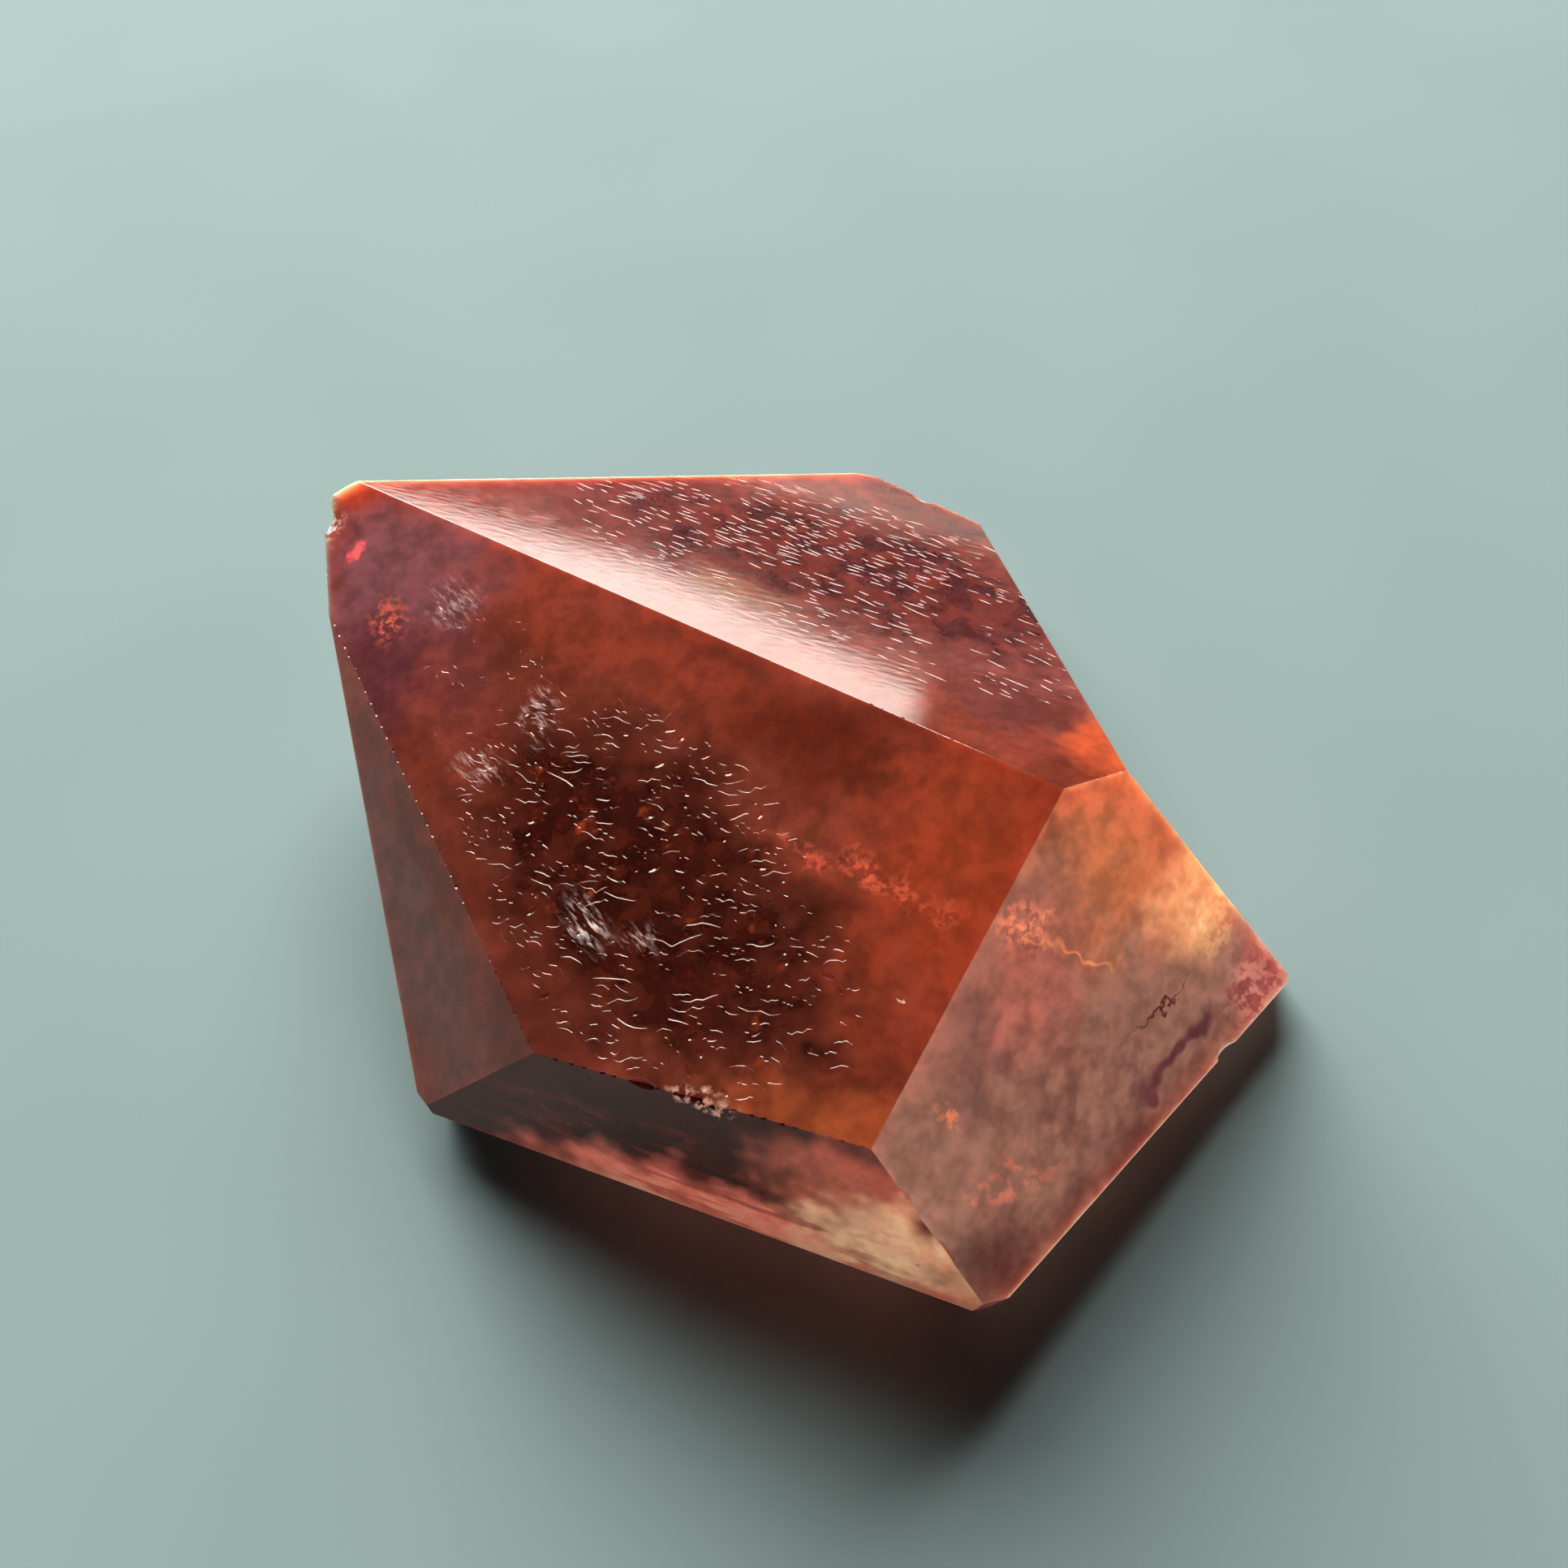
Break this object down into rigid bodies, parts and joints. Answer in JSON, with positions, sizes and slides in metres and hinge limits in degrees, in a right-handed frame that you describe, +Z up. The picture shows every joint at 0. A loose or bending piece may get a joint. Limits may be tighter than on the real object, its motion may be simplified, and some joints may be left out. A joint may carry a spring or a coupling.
{
  "type": "polished red quartz crystal",
  "caption": "Polished, faceted piece of glassy red-brown quartz with a worn point, lying on a flat resting face.",
  "frame": {"origin": "middle of the stone's outline, on its resting face", "axes": "+X along the longest side, +Y towards the back, +Z up, out of the resting face"},
  "size_m": [0.0726, 0.0717, 0.0208],
  "materials": {
    "red_quartz": "polished, glassy, with rust-red clouds, veils and etched grooves"
  },
  "bodies": {
    "root": {"crystal": "red_quartz"}
  },
  "joints": []
}
